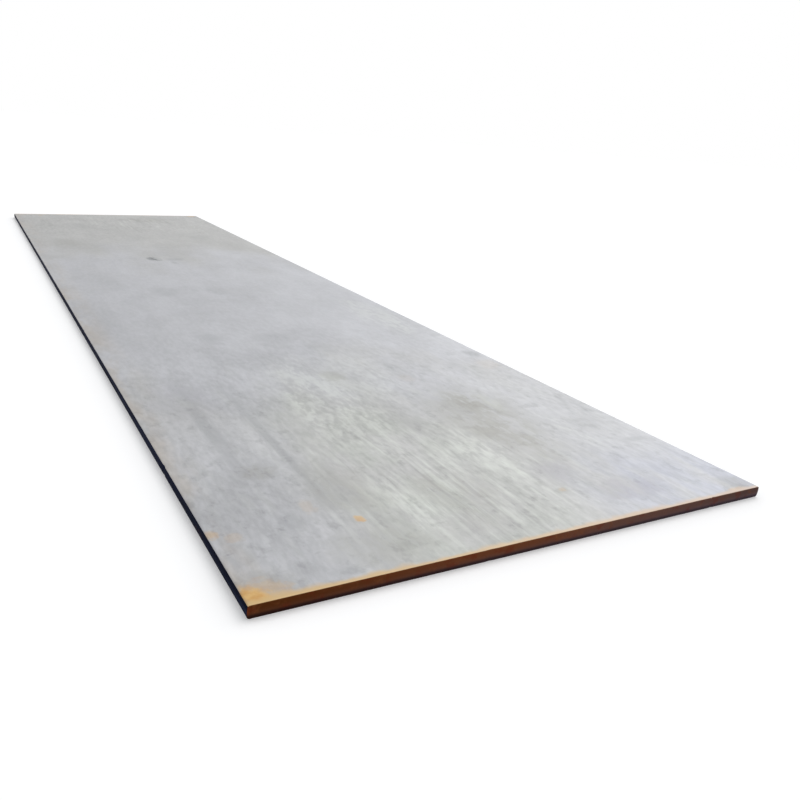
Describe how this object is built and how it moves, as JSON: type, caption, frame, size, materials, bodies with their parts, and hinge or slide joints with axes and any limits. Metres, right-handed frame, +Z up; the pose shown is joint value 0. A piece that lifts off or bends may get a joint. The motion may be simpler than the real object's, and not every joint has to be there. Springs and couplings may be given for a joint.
{
  "type": "steel plate",
  "caption": "Flat rectangular hot-rolled steel plate with rounded rolled long edges and sheared, rusted ends; raw stock to cut, weld or bolt into fabricated work.",
  "frame": {"origin": "middle of the underside, where the plate lies on a level floor", "axes": "+Z up out of the top face, +Y along the length and rolling direction, +X across the width"},
  "size_m": [1.5, 6, 0.032],
  "materials": {
    "hot_rolled_steel": "hot-rolled mill scale with lengthwise streaks, rust on the sheared ends and blue-black scale on the rolled edges"
  },
  "bodies": {
    "root": {"steel_plate": "hot_rolled_steel"}
  },
  "joints": []
}
